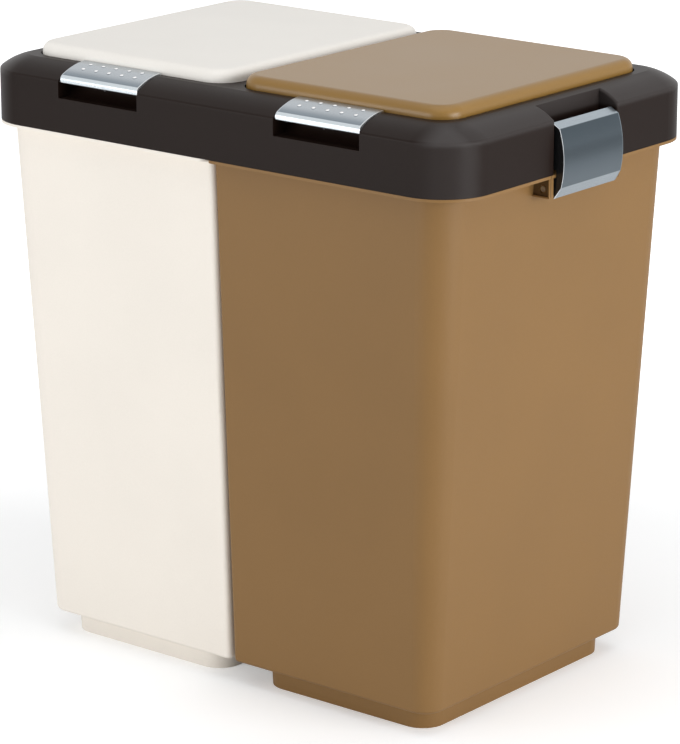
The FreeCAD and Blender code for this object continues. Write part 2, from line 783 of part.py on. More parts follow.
def clamp_front(inset, low, high):
    """Prism along X of the clamp's narrowing face, inset at its sides, between two heights."""
    stations = [
        (clamp_width_base, clamp_low),
        (clamp_width_low, clamp_low + clamp_lip_rise),
        (clamp_width_high, clamp_high - clamp_tip_drop),
        (clamp_width_top, clamp_high),
    ]
    rear = [(width / 2 - inset, z, 0) for width, z in stations]
    front = [(-half, z, 0) for half, z, _ in reversed(rear)]
    form = prism_x(rear + front, clamp_pivot_x - clamp_lug_radius, frame_side + 2 * clamp_bulge)
    return form.common(block(0, frame_width, -clamp_width_base, clamp_width_base, low, high))


def make_clamp():
    """Right clamp: bulging hollow plate with pin lugs below and a hook above."""
    room_low = clamp_low + clamp_bar
    room_high = clamp_high - clamp_bar
    body = clamp_face(0.0).common(clamp_front(0.0, clamp_low, clamp_high))
    hollow = clamp_face(clamp_plate).common(clamp_front(clamp_side, room_low, room_high))
    back = block(
        clamp_pivot_x, frame_side - clamp_lip, -clamp_width_base, clamp_width_base, room_low, room_high,
    ).common(clamp_front(clamp_side, room_low, room_high))
    rim_room = block(
        clamp_pivot_x, frame_side + clamp_rim_gap, -clamp_width_base, clamp_width_base,
        rim_under - clamp_rim_gap, clamp_pivot_z + clamp_rim_room,
    )
    body = body.cut(hollow).cut(back).cut(rim_room)
    lug_top = clamp_pivot_z + clamp_lug_radius
    lug_low = clamp_pivot_z - clamp_lug_radius
    edge = clamp_width_low / 2
    spans = [(-edge, -edge + clamp_lug_width), (edge - clamp_lug_width, edge)]
    for place in (-clamp_lug_place, clamp_lug_place):
        spans.append((place - clamp_lug_width / 2, place + clamp_lug_width / 2))
    pieces = [body]
    arm_end = frame_side + clamp_base_reach - clamp_plate / 2
    for span in spans:
        pieces.append(rod_y(clamp_lug_radius, *span, clamp_pivot_x, clamp_pivot_z))
        arm = block(clamp_pivot_x, arm_end, *span, lug_low, lug_top)
        inner_arm = block(clamp_pivot_x, frame_side - clamp_lip, *span, lug_low, lug_top)
        pieces.append(arm.common(clamp_face(0.0).fuse(inner_arm)))
    hook_end = frame_side + clamp_top_reach - clamp_plate / 2
    hook = [
        (bead_tip + hook_gap, hook_z, 0.6),
        (hook_end, hook_z, 0),
        (hook_end, hook_z + hook_height, 0),
        (bead_tip + hook_gap, hook_z + hook_height, 0.6),
    ]
    pieces.append(prism_y(hook, -hook_width / 2, hook_width / 2))
    clamp = fused(pieces)
    return at_clamp(clamp.cut(rod_y(
        clamp_pin_radius + pin_clearance, -clamp_width_base, clamp_width_base, clamp_pivot_x, clamp_pivot_z,
    )))


# ---------------------------------------------------------------- whole

def make_parts():
    """Every piece by its node name."""
    right = {
        "bin": make_bin(),
        "lid": make_lid(),
        "hinge_pin_outer": make_hinge_pin("outer"),
        "hinge_pin_inner": make_hinge_pin("inner"),
        "lid_spring": make_lid_spring(),
        "button": make_button(),
        "button_pin": make_button_pin(),
        "button_spring": make_button_spring(),
        "clamp": make_clamp(),
        "clamp_pin": make_clamp_pin(),
    }
    parts = {"lid_frame": make_lid_frame()}
    for name, shape in right.items():
        parts["right_" + name] = shape
        parts["left_" + name] = mirrored(shape)
    return parts


os.makedirs("parts", exist_ok=True)
for node, solid in make_parts().items():
    solid.exportStep("parts/" + node + ".step")
    print(node, len(solid.Solids), "solids, valid", solid.isValid(), "volume", round(solid.Volume, 1))
print("least gap between spring turns", spring_gap)
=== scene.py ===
"""Double recycling bin, dressed for its portrait.

Two tapered bins, cream and tan, stand side by side under one dark lid frame with two
hinged lids, a push button in front of each lid and a clamp on each outer side. The
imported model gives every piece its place. This script adds the finishes, the raised
dots on the buttons, the plain studio and the camera.

Lengths are in metres. X runs along the front, Y from front to rear, Z up.
"""
import logging
import math
from dataclasses import dataclass
from enum import Enum
from typing import Any, Mapping, Union

import bpy
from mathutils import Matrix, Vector


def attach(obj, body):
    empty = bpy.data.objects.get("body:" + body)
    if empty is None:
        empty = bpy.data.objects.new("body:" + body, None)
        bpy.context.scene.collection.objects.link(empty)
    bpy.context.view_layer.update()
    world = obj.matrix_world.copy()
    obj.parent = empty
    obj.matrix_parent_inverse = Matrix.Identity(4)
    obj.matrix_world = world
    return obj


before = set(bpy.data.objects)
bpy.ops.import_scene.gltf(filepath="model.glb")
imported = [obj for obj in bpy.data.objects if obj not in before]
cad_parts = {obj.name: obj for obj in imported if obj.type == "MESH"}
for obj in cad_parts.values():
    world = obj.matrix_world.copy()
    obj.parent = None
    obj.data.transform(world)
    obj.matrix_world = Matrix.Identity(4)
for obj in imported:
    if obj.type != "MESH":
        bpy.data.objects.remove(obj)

log = logging.getLogger("double_bin")

Colour = tuple[float, float, float]
Point = tuple[float, float, float]
Operand = Union["Wire", float]

BUTTON_MIDDLE = 0.113       # along X, from the middle plane
CLAMP_MIDDLE = 0.007        # along Y


class Side(Enum):
    """The two halves of the object, seen from the front."""

    LEFT = "left"
    RIGHT = "right"

    @property
    def sign(self) -> int:
        """Direction of this half along X."""
        return 1 if self is Side.RIGHT else -1


# -------------------------------------------------------------------- node maths

class Wire:
    """One output socket that takes part in Python expressions."""

    def __init__(self, tree: "Tree", socket: bpy.types.NodeSocket) -> None:
        """Hold a socket and the tree it belongs to."""
        self.tree = tree
        self.socket = socket

    def _math(self, operation: str, first: Operand, second: Operand) -> "Wire":
        """Add one Math node and return its result."""
        return self.tree.add("ShaderNodeMath", {"operation": operation}, {0: first, 1: second})

    def __add__(self, other: Operand) -> "Wire":
        """Sum of two values."""
        return self._math("ADD", self, other)

    __radd__ = __add__

    def __sub__(self, other: Operand) -> "Wire":
        """Difference of two values."""
        return self._math("SUBTRACT", self, other)

    def __rsub__(self, other: Operand) -> "Wire":
        """Difference of a number and this value."""
        return self._math("SUBTRACT", other, self)

    def __mul__(self, other: Operand) -> "Wire":
        """Product of two values."""
        return self._math("MULTIPLY", self, other)

    __rmul__ = __mul__

    def __truediv__(self, other: Operand) -> "Wire":
        """Quotient of two values."""
        return self._math("DIVIDE", self, other)

    def size(self) -> "Wire":
        """This value without its sign."""
        return self.tree.add("ShaderNodeMath", {"operation": "ABSOLUTE"}, {0: self})

    def root(self) -> "Wire":
        """Square root of this value."""
        return self.tree.add("ShaderNodeMath", {"operation": "SQRT"}, {0: self})

    def larger(self, other: Operand) -> "Wire":
        """The larger of two values."""
        return self._math("MAXIMUM", self, other)

    def step(self, low: float, high: float) -> "Wire":
        """Smooth step of this value.

        Args:
            low: value at which the result is 0.
            high: value at which the result is 1; it may be less than low.

        Returns:
            The value from 0 to 1.
        """
        settings = {"interpolation_type": "SMOOTHSTEP"}
        if low <= high:
            inputs = {"Value": self, "From Min": low, "From Max": high}
            return self.tree.add("ShaderNodeMapRange", settings, inputs)
        return 1.0 - self.step(high, low)


class Tree:
    """Nodes and links of one node tree."""

    def __init__(self, tree: bpy.types.NodeTree) -> None:
        """Take over a tree and empty it.

        Args:
            tree: the node tree to fill.
        """
        self.nodes = tree.nodes
        self.links = tree.links
        self.nodes.clear()

    def feed(self, socket: bpy.types.NodeSocket, value: Any) -> None:
        """Link a wire to a socket, or set a constant on it."""
        if isinstance(value, Wire):
            self.links.new(value.socket, socket)
        elif isinstance(value, tuple) and len(value) == 3 and socket.type == "RGBA":
            socket.default_value = (*value, 1.0)
        else:
            socket.default_value = value

    def add(
        self,
        kind: str,
        settings: Mapping[str, Any] | None = None,
        inputs: Mapping[Any, Any] | None = None,
        out: int | str = 0,
    ) -> Wire | None:
        """Add one node.

        Args:
            kind: type of the node.
            settings: its properties, set before anything else.
            inputs: values or wires for its sockets, by name, index or identifier.
            out: the output to return.

        Returns:
            The chosen output, if the node has any.
        """
        node = self.nodes.new(kind)
        for name, value in (settings or {}).items():
            setattr(node, name, value)
        for key, value in (inputs or {}).items():
            self.feed(self._socket(node.inputs, key), value)
        return Wire(self, self._socket(node.outputs, out)) if node.outputs else None

    @staticmethod
    def _socket(sockets: Any, key: int | str) -> bpy.types.NodeSocket:
        """Find a socket by index, identifier or name."""
        if isinstance(key, int):
            return sockets[key]
        for socket in sockets:
            if socket.identifier == key:
                return socket
        return sockets[key]

    def part(self, vector: Wire, axis: str) -> Wire:
        """One component of a vector."""
        return self.add("ShaderNodeSeparateXYZ", {}, {0: vector}, out=axis)

    def vector(self, x: Operand, y: Operand, z: Operand) -> Wire:
        """A vector from its components."""
        return self.add("ShaderNodeCombineXYZ", {}, {"X": x, "Y": y, "Z": z})


class Shader(Tree):
    """Node tree of one material, with a Principled shader at its end."""

    def __init__(self, name: str) -> None:
        """Start an empty material.

        Args:
            name: name of the material.
        """
        self.material = bpy.data.materials.new(name)
        self.material.use_nodes = True
        super().__init__(self.material.node_tree)

    def place(self) -> Wire:
        """Object coordinates of the shaded point."""
        return self.add("ShaderNodeTexCoord", out="Object")

    def along(self, axis: str) -> Wire:
        """One object coordinate of the shaded point."""
        return self.part(self.place(), axis)

    def facing(self, axis: str) -> Wire:
        """How squarely the surface faces along an axis, 0 to 1."""
        return self.part(self.add("ShaderNodeTexCoord", out="Normal"), axis).size()

    def noise(self, scale: float, detail: float, stretch: Point = (1.0, 1.0, 1.0)) -> Wire:
        """Even noise about 0.5.

        Args:
            scale: features per metre.
            detail: octaves.
            stretch: scale along each axis.

        Returns:
            The noise value.
        """
        vector = self.place()
        if stretch != (1.0, 1.0, 1.0):
            vector = self.add("ShaderNodeMapping", {}, {"Vector": vector, "Scale": stretch})
        return self.add("ShaderNodeTexNoise", {}, {"Vector": vector, "Scale": scale, "Detail": detail})

    def blend(self, factor: Operand, first: Any, second: Any) -> Wire:
        """Mix two colours."""
        return self.add(
            "ShaderNodeMix",
            {"data_type": "RGBA"},
            {"Factor_Float": factor, "A_Color": first, "B_Color": second},
            "Result_Color",
        )

    def bump(self, height: Wire, distance: float) -> Wire:
        """Bump in full strength; a height of 1 stands distance metres proud."""
        inputs = {"Height": height, "Distance": distance, "Strength": 1.0}
        return self.add("ShaderNodeBump", {}, inputs, "Normal")

    def finish(self, **values: Any) -> bpy.types.Material:
        """Set the Principled shader's sockets.

        Args:
            values: sockets by name, with _ for a space.

        Returns:
            The finished material.
        """
        sockets: dict[str, Any] = {}
        for name, value in values.items():
            sockets[name.replace("_", " ")] = value
        surface = self.add("ShaderNodeBsdfPrincipled", {}, sockets)
        self.add("ShaderNodeOutputMaterial", {}, {"Surface": surface})
        return self.material


class Recipe(Tree):
    """Geometry Nodes tree with named sizes that makes one plain mesh."""

    def __init__(self, name: str) -> None:
        """Start an empty recipe.

        Args:
            name: name of the node group.
        """
        self.group = bpy.data.node_groups.new(name, "GeometryNodeTree")
        super().__init__(self.group)
        self.group.interface.new_socket("Geometry", in_out="OUTPUT", socket_type="NodeSocketGeometry")
        self.entry = self.nodes.new("NodeGroupInput")
        self.exit = self.nodes.new("NodeGroupOutput")
        self.sizes: dict[str, Any] = {}

    def given(self, name: str, value: Any, kind: str = "NodeSocketFloat") -> Wire:
        """Declare a named input.

        Args:
            name: the input's name.
            value: what this piece uses.
            kind: type of its socket.

        Returns:
            The input's value inside the tree.
        """
        item = self.group.interface.new_socket(name, in_out="INPUT", socket_type=kind)
        self.sizes[item.identifier] = value
        return Wire(self, self.entry.outputs[name])

    def make(self, name: str, shape: Wire, material: bpy.types.Material) -> bpy.types.Object:
        """Run the recipe and keep its result as a mesh.

        Args:
            name: name of the piece.
            shape: the geometry to keep.
            material: its finish.

        Returns:
            The piece, at the origin, with no modifier left on it.
        """
        whole = self.add("GeometryNodeRealizeInstances", {}, {0: shape})
        coated = self.add("GeometryNodeSetMaterial", {}, {0: whole, "Material": material})
        self.feed(self.exit.inputs[0], coated)
        piece = bpy.data.objects.new(name, bpy.data.meshes.new(name))
        bpy.context.scene.collection.objects.link(piece)
        modifier = piece.modifiers.new("recipe", "NODES")
        modifier.node_group = self.group
        for identifier, value in self.sizes.items():
            modifier[identifier] = value
        graph = bpy.context.evaluated_depsgraph_get()
        mesh = bpy.data.meshes.new_from_object(piece.evaluated_get(graph))
        piece.modifiers.remove(modifier)
        piece.data = mesh
        return piece


# ---------------------------------------------------------------------- finishes

def scaled(colour: Colour, factor: float) -> Colour:
    """A colour made darker or lighter."""
    return tuple(channel * factor for channel in colour)


@dataclass(frozen=True)
class MouldedPlastic:
    """Injection-moulded plastic with a fine spark-eroded texture."""

    name: str
    slot: str
    colour: Colour
    roughness: float
    grain_scale: float = 1500.0
    grain_depth: float = 0.00005
    mottle: float = 0.02
    scuff: float = 0.12
    specular: float = 0.5
    cloud_scale: float = 9.0
    cloud_share: float = 0.6
    gloss_change: float = 0.06
    scuff_scale: float = 60.0
    scuff_stretch: Point = (1.0, 1.0, 7.0)
    scuff_top: float = 0.05
    scuff_tone: float = 0.75
    scuff_roughness: float = 0.2
    wave_scale: float = 14.0
    wave_depth: float = 3.0

    def shade(self, shader: Shader, base: Wire) -> Wire:
        """Change the colour where this piece differs from an even wall; the subclasses paint shade or
        highlights here.
        """
        return base

    def build(self) -> bpy.types.Material:
        """Make the material.

        Returns:
            The material with grain, faint mottling and dull scuffs near the floor.
        """
        shader = Shader(self.name)
        cloud = shader.noise(self.cloud_scale, 3.0)
        speck = shader.noise(self.grain_scale / 2, 1.0).step(0.25, 0.75)
        tone = cloud.step(0.3, 0.7) * self.cloud_share + speck * (1 - self.cloud_share)
        dark, light = scaled(self.colour, 1 - self.mottle), scaled(self.colour, 1 + self.mottle)
        rubs = shader.noise(self.scuff_scale, 4.0, self.scuff_stretch).step(0.58, 0.72)
        worn = rubs * shader.along("Z").step(self.scuff_top, 0.0) * self.scuff
        dull = scaled(self.colour, self.scuff_tone)
        base = self.shade(shader, shader.blend(worn, shader.blend(tone, dark, light), dull))
        grain = shader.noise(self.grain_scale, 2.0)
        relief = grain + shader.noise(self.wave_scale, 1.0) * self.wave_depth
        rough = self.roughness - self.gloss_change / 2 + cloud * self.gloss_change
        rough = rough + worn * self.scuff_roughness
        return shader.finish(
            Base_Color=base,
            Roughness=rough,
            Normal=shader.bump(relief, self.grain_depth),
            Specular_IOR_Level=self.specular,
        )


@dataclass(frozen=True)
class BinPlastic(MouldedPlastic):
    """Plastic of a bin, with painted shade on the floors of the recesses round the clamp's ears."""

    middle: float = CLAMP_MIDDLE
    recess_place: float = 0.0455
    recess_edge: float = 0.0003
    recess_low: float = 0.4278
    recess_fade: float = 0.0005
    recess_shade_share: float = 0.65
    recess_shade_tone: float = 0.15

    def shade(self, shader: Shader, base: Wire) -> Wire:
        """Painted shade: darken the floors of the recesses round the clamp's pin."""
        beside = (shader.along("Y") - self.middle).size()
        floor = (beside - self.recess_place).size().step(2 * self.recess_edge, self.recess_edge)
        level = shader.along("Z").step(self.recess_low, self.recess_low + self.recess_fade)
        # painted shade colour for the floors of the recesses
        shaded = scaled(self.colour, self.recess_shade_tone)
        return shader.blend(floor * level * self.recess_shade_share, base, shaded)


@dataclass(frozen=True)
class FramePlastic(MouldedPlastic):
    """Plastic of the lid frame, with painted highlights at its corners and on its side shoulders."""

    corner_x: float = 0.205
    corner_y: float = 0.125
    spread: float = 0.02
    crease: float = 0.4865
    crease_below: float = 0.003
    crease_above: float = 0.001
    side_x: float = 0.218
    side_spread: float = 0.012
    corner_share: float = 0.35
    crease_share: float = 0.5
    side_share: float = 0.5
    # colour of the painted highlight on the corners, creases and shoulders
    painted_highlight: Colour = (0.056, 0.050, 0.049)

    def shade(self, shader: Shader, base: Wire) -> Wire:
        """Painted highlight: lighten the corners, most along their creases, and the shoulders of both
        sides.
        """
        width = shader.along("X").size()
        corner = width.step(self.corner_x, self.corner_x + self.spread)
        corner = corner * shader.along("Y").size().step(self.corner_y, self.corner_y + self.spread)
        height = shader.along("Z")
        band = height.step(self.crease - self.crease_below, self.crease + self.crease_above)
        shoulder = width.step(self.side_x, self.side_x + self.side_spread) * band * self.side_share
        corner = corner * (self.corner_share + self.crease_share * band)
        # painted highlight laid over the corners and the shoulders
        return shader.blend(corner.larger(shoulder), base, self.painted_highlight)


@dataclass(frozen=True)
class Plating:
    """Satin silver plating over plastic."""

    name: str
    slot: str
    roughness: float = 0.25
    metallic: float = 0.85
    brushing: Point = (1.0, 1.0, 1.0)
    cloud_scale: float = 16.0
    grain_scale: float = 900.0
    grain_depth: float = 0.000004
    gloss_change: float = 0.06
    tarnish_share: float = 0.1
    tarnish: Colour = (0.1, 0.11, 0.12)

    def tint(self, shader: Shader) -> Wire:
        """Colour of the plating over the piece."""
        raise NotImplementedError

    def build(self) -> bpy.types.Material:
        """Make the material.

        Returns:
            The plating with a faint grain and small changes of gloss.
        """
        shader = Shader(self.name)
        cloud = shader.noise(self.cloud_scale, 3.0)
        grain = shader.noise(self.grain_scale, 2.0, self.brushing)
        dusky = (cloud * 0.5 + grain * 0.5).step(0.3, 0.7) * self.tarnish_share
        shade = shader.blend(dusky, self.tint(shader), self.tarnish)
        rough = self.roughness - self.gloss_change / 2 + cloud * self.gloss_change
        return shader.finish(
            Base_Color=shade,
            Roughness=rough,
            Normal=shader.bump(grain, self.grain_depth),
            Metallic=self.metallic,
        )


@dataclass(frozen=True)
class ButtonPlating(Plating):
    """Plating of a push button with painted reflections: painted shade in its front crease, paler towards
    its rear, painted highlights along its front bend and on its ends.
    """

    # Painted reflection: the plate pales from the painted shade of the crease colour to the top colour.
    top: Colour = (0.44, 0.475, 0.505)
    crease: Colour = (0.22, 0.26, 0.295)
    # painted highlights along the front bend and on the right and left ends
    lip_highlight: Colour = (0.62, 0.675, 0.71)
    end: Colour = (0.82, 0.84, 0.86)
    left_end_highlight: Colour = (0.55, 0.59, 0.62)
    middle: float = BUTTON_MIDDLE
    half: float = 0.0415
    edge_width: float = 0.0009
    edge_share: float = 0.7
    lip_line: float = -0.1594
    lip_fade: float = 0.0005
    fade: float = 0.010

    def tint(self, shader: Shader) -> Wire:
        """Colour of the plating from front to rear, with painted shade, reflections and highlights."""
        depth = shader.along("Y")
        rise = depth.step(self.lip_line, self.lip_line + self.fade)
        plate = shader.blend(rise, self.crease, self.top)
        body = shader.blend(depth.step(self.lip_line, self.lip_line - self.lip_fade), plate, self.lip_highlight)
        across = shader.along("X") - self.middle
        wide, narrow = self.edge_width, self.edge_width * self.edge_share
        right = across.step(self.half - wide, self.half - narrow)
        left = across.step(wide - self.half, narrow - self.half)
        # painted highlights on both ends of the plate
        return shader.blend(right, shader.blend(left, body, self.left_end_highlight), self.end)


@dataclass(frozen=True)
class ClampPlating(Plating):
    """Plating of a side clamp with painted reflections: darker on its crown, painted highlights on its
    bends and edges, painted shade on its flanks.
    """

    # Painted reflection: the crown goes from the high colour at the high bend to the low colour at the low
    # bend.
    high: Colour = (0.060, 0.080, 0.096)
    low: Colour = (0.140, 0.168, 0.190)
    # painted highlights on the bends, the front edges and the rear edges; painted shade on the flanks
    bevel_highlight: Colour = (0.37, 0.42, 0.46)
    edge_highlight: Colour = (0.90, 0.92, 0.94)
    rear_edge: Colour = (0.26, 0.31, 0.34)
    flank_shade: Colour = (0.05, 0.052, 0.055)
    middle: float = CLAMP_MIDDLE
    low_bend: float = 0.4355
    high_bend: float = 0.4812
    bend_fade: float = 0.0003
    low_half: float = 0.04015
    high_half: float = 0.0395
    edge_width: float = 0.0008
    edge_change: float = 0.01
    flank_turn: tuple[float, float] = (0.4, 0.7)

    def tint(self, shader: Shader) -> Wire:
        """Colour of the plating: painted reflection over the crown, painted highlights on the bends and
        edges, painted shade on the flanks.
        """
        height = shader.along("Z")
        place = shader.along("Y") - self.middle
        beside = place.size()
        # painted reflection down the crown
        crown = shader.blend(height.step(self.high_bend, self.low_bend), self.high, self.low)
        above = height.step(self.high_bend, self.high_bend + self.bend_fade)
        bends = above.larger(height.step(self.low_bend, self.low_bend - self.bend_fade))
        face = shader.blend(bends, crown, self.bevel_highlight)
        narrowing = (self.low_half - self.high_half) / (self.high_bend - self.low_bend)
        half = self.low_half - (height - self.low_bend) * narrowing
        rim = (half - beside).step(self.edge_width, self.edge_width / 2)
        behind = place.step(-self.edge_change, self.edge_change)
        edged = shader.blend(rim, face, shader.blend(behind, self.edge_highlight, self.rear_edge))
        # painted shade on the flanks
        return shader.blend(shader.facing("Y").step(*self.flank_turn), edged, self.flank_shade)


@dataclass(frozen=True)
class PolishedDot(Plating):
    """Bright plating of the raised dots, with painted shade round their feet."""

    colour: Colour = (0.97, 0.97, 0.97)
    foot_shade: Colour = (0.22, 0.25, 0.28)
    crown_turn: tuple[float, float] = (0.55, 0.85)

    def tint(self, shader: Shader) -> Wire:
        """Nearly white on the crown, painted shade where a dot meets its plate."""
        return shader.blend(shader.facing("Z").step(*self.crown_turn), self.foot_shade, self.colour)


@dataclass(frozen=True)
class DrawnSteel:
    """Steel wire or rod with fine lines along X."""

    name: str
    slot: str
    colour: Colour
    roughness: float
    line_scale: float = 2600.0
    line_stretch: Point = (0.05, 1.0, 1.0)
    line_depth: float = 0.00002
    oil_scale: float = 220.0
    oil_share: float = 0.5
    oil_tone: float = 0.6
    oil_roughness: float = 0.12

    def build(self) -> bpy.types.Material:
        """Make the material.

        Returns:
            Steel with draw lines and a trace of darker oil.
        """
        shader = Shader(self.name)
        lines = shader.noise(self.line_scale, 2.0, self.line_stretch)
        oil = shader.noise(self.oil_scale, 3.0).step(0.5, 0.75)
        base = shader.blend(oil * self.oil_share, self.colour, scaled(self.colour, self.oil_tone))
        return shader.finish(
            Base_Color=base,
            Roughness=self.roughness + oil * self.oil_roughness,
            Normal=shader.bump(lines, self.line_depth),
            Metallic=1.0,
        )


CREAM = BinPlastic("cream_moulded", "cream_plastic", (0.872, 0.815, 0.738), 0.50, specular=0.3)
CREAM_LID = MouldedPlastic("cream_lid", "cream_plastic", (0.865, 0.835, 0.785), 0.44, specular=0.4)
TAN = BinPlastic("tan_moulded", "tan_plastic", (0.224, 0.121, 0.039), 0.48, mottle=0.03, specular=0.3)
TAN_LID = MouldedPlastic("tan_lid", "tan_plastic", (0.246, 0.134, 0.028), 0.33, mottle=0.03, specular=0.4)
BIN_PLASTIC = {Side.LEFT: CREAM, Side.RIGHT: TAN}
LID_PLASTIC = {Side.LEFT: CREAM_LID, Side.RIGHT: TAN_LID}
BROWN = FramePlastic(
    "brown_moulded", "brown_plastic", (0.0120, 0.0064, 0.0046), 0.40, mottle=0.07, specular=0.12
)
BUTTON_SILVER = {
    side: ButtonPlating(
        f"silver_{side.value}_button", "silver_plating", 0.26, middle=side.sign * BUTTON_MIDDLE
    )
    for side in Side
}
CLAMP_SILVER = ClampPlating("silver_clamp", "silver_plating", 0.22, brushing=(1.0, 0.08, 1.0))
DOT_SILVER = PolishedDot("silver_dots", "silver_plating", 0.18, metallic=0.4)
PIN_STEEL = DrawnSteel("drawn_pin", "pin_steel", (0.36, 0.36, 0.37), 0.32)
SPRING_STEEL = DrawnSteel("oiled_spring", "spring_steel", (0.22, 0.22, 0.23), 0.36)


class Finishes:
    """The materials of the whole object, each built once."""

    def __init__(self) -> None:
        """Build every finish."""
        palette = (
            *BIN_PLASTIC.values(), *LID_PLASTIC.values(), BROWN,
            *BUTTON_SILVER.values(), CLAMP_SILVER, DOT_SILVER, PIN_STEEL, SPRING_STEEL,
        )
        self.materials = {finish.name: finish.build() for finish in palette}

    def dress(self, node: str, finish: MouldedPlastic | Plating | DrawnSteel) -> None:
        """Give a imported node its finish.

        Args:
            node: name of the node.
            finish: one of the finishes above.
        """
        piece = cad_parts[node]
        for slot in piece.material_slots:
            slot.material = self.materials[finish.name]
        log.info("%s is %s", node, finish.name)


# ------------------------------------------------------------------ sub-assemblies

@dataclass
class BinPair:
    """The two open bins with the pins of the clamps."""

    finishes: Finishes

    def build(self) -> None:
        """Dress both bins and the pins in their brackets."""
        for side, plastic in BIN_PLASTIC.items():
            self.finishes.dress(f"{side.value}_bin", plastic)
            self.finishes.dress(f"{side.value}_clamp_pin", PIN_STEEL)


@dataclass
class LidFrame:
    """The dark frame with the small steel pieces that stay on it."""

    finishes: Finishes

    def build(self) -> None:
        """Dress the frame, its pins and its springs."""
        self.finishes.dress("lid_frame", BROWN)
        for side in Side:
            for pin in ("hinge_pin_outer", "hinge_pin_inner", "button_pin"):
                self.finishes.dress(f"{side.value}_{pin}", PIN_STEEL)
            for spring in ("lid_spring", "button_spring"):
                self.finishes.dress(f"{side.value}_{spring}", SPRING_STEEL)


@dataclass
class Lid:
    """One hinged lid."""

    finishes: Finishes
    side: Side

    def build(self) -> None:
        """Dress the lid in its own glossier plastic."""
        self.finishes.dress(f"{self.side.value}_lid", LID_PLASTIC[self.side])


@dataclass
class PushButton:
    """One push button with two rows of raised dots on its arched plate."""

    finishes: Finishes
    side: Side
    middle: float = BUTTON_MIDDLE
    rear_edge: tuple[float, float] = (-0.1325, 0.5005)
    front_edge: tuple[float, float] = (-0.1618, 0.4917)
    arch: float = 0.0018
    columns: int = 5
    rows: int = 2
    pitch: float = 0.0139
    row_pitch: float = 0.009
    rows_middle: float = -0.1445
    dot_radius: float = 0.00175
    dot_height: float = 0.00065
    dot_segments: int = 20
    dot_rings: int = 12

    def _circle(self) -> tuple[Vector, float]:
        """Axis and radius of the plate's arched face, in its Y and Z."""
        rear, front = Vector(self.rear_edge), Vector(self.front_edge)
        chord = rear - front
        radius = chord.length ** 2 / (8 * self.arch) + self.arch / 2
        up = Vector((-chord.y, chord.x)).normalized()
        return (rear + front) / 2 - up * (radius - self.arch), radius

    def _dots(self) -> bpy.types.Object:
        """Make the raised dots.

        Returns:
            One mesh with every dot, square to the arched plate.
        """
        axis, radius = self._circle()
        recipe = Recipe(f"{self.side.value}_dot_rows")
        columns = recipe.given("Columns", self.columns, "NodeSocketInt")
        rows = recipe.given("Rows", self.rows, "NodeSocketInt")
        pitch = recipe.given("Pitch", self.pitch)
        row_pitch = recipe.given("Row Pitch", self.row_pitch)
        middle = recipe.given("Middle", self.side.sign * self.middle)
        rows_middle = recipe.given("Rows Middle", self.rows_middle)
        arch_radius = recipe.given("Arch Radius", radius)
        arch_y = recipe.given("Arch Axis Y", axis.x)
        arch_z = recipe.given("Arch Axis Z", axis.y)
        dot_radius = recipe.given("Dot Radius", self.dot_radius)
        dot_height = recipe.given("Dot Height", self.dot_height)
        grid = recipe.add(
            "GeometryNodeMeshGrid", {},
            {
                "Size X": pitch * (columns - 1.0), "Size Y": row_pitch * (rows - 1.0),
                "Vertices X": columns, "Vertices Y": rows,
            },
        )
        here = recipe.add("GeometryNodeInputPosition")
        depth = recipe.part(here, "Y") + rows_middle
        reach = depth - arch_y
        height = arch_z + (arch_radius * arch_radius - reach * reach).root()
        spot = recipe.vector(recipe.part(here, "X") + middle, depth, height)
        points = recipe.add("GeometryNodeSetPosition", {}, {"Geometry": grid, "Position": spot})
        outward = recipe.vector(0.0, recipe.part(here, "Y") - arch_y, recipe.part(here, "Z") - arch_z)
        turn = recipe.add("FunctionNodeAlignRotationToVector", {"axis": "Z"}, {"Vector": outward})
        ball = recipe.add(
            "GeometryNodeMeshUVSphere", {},
            {"Segments": self.dot_segments, "Rings": self.dot_rings, "Radius": dot_radius},
        )
        smooth = recipe.add("GeometryNodeSetShadeSmooth", {}, {0: ball})
        dots = recipe.add(
            "GeometryNodeInstanceOnPoints", {},
            {
                "Points": points, "Instance": smooth, "Rotation": turn,
                "Scale": recipe.vector(1.0, 1.0, dot_height / dot_radius),
            },
        )
        return recipe.make(f"{self.side.value}_button_dots", dots, self.finishes.materials[DOT_SILVER.name])

    def build(self) -> None:
        """Dress the button and set its dots on it."""
        node = f"{self.side.value}_button"
        self.finishes.dress(node, BUTTON_SILVER[self.side])
        dots = self._dots()
        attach(dots, node)
        log.info("%s rides on %s", dots.name, node)


@dataclass
class SideClamp:
    """One clamp on an outer side."""

    finishes: Finishes
    side: Side

    def build(self) -> None:
        """Dress the clamp."""
        self.finishes.dress(f"{self.side.value}_clamp", CLAMP_SILVER)


# ------------------------------------------------------------------------- studio

@dataclass
class Softbox:
    """One large soft lamp."""

    name: str
    place: Point
    aim: Point
    width: float
    depth: float
    power: float

    def build(self) -> None:
        """Hang the lamp and point it."""
        lamp = bpy.data.lights.new(self.name, "AREA")
        lamp.shape = "RECTANGLE"
        lamp.size = self.width
        lamp.size_y = self.depth
        lamp.energy = self.power
        holder = bpy.data.objects.new(self.name, lamp)
        holder.location = self.place
        holder.rotation_euler = (Vector(self.aim) - Vector(self.place)).to_track_quat("-Z", "Y").to_euler()
        bpy.context.scene.collection.objects.link(holder)


LAMP_AIM = (0.0, 0.0, 0.25)
LAMPS = (
    Softbox("top_softbox", (0.3, -0.2, 1.9), LAMP_AIM, 1.8, 1.8, 8.0),
    Softbox("front_softbox", (-0.9, -2.4, 0.6), LAMP_AIM, 1.8, 1.1, 22.5),
    Softbox("side_softbox", (2.4, 0.2, 0.65), LAMP_AIM, 1.6, 1.2, 38.0),
)


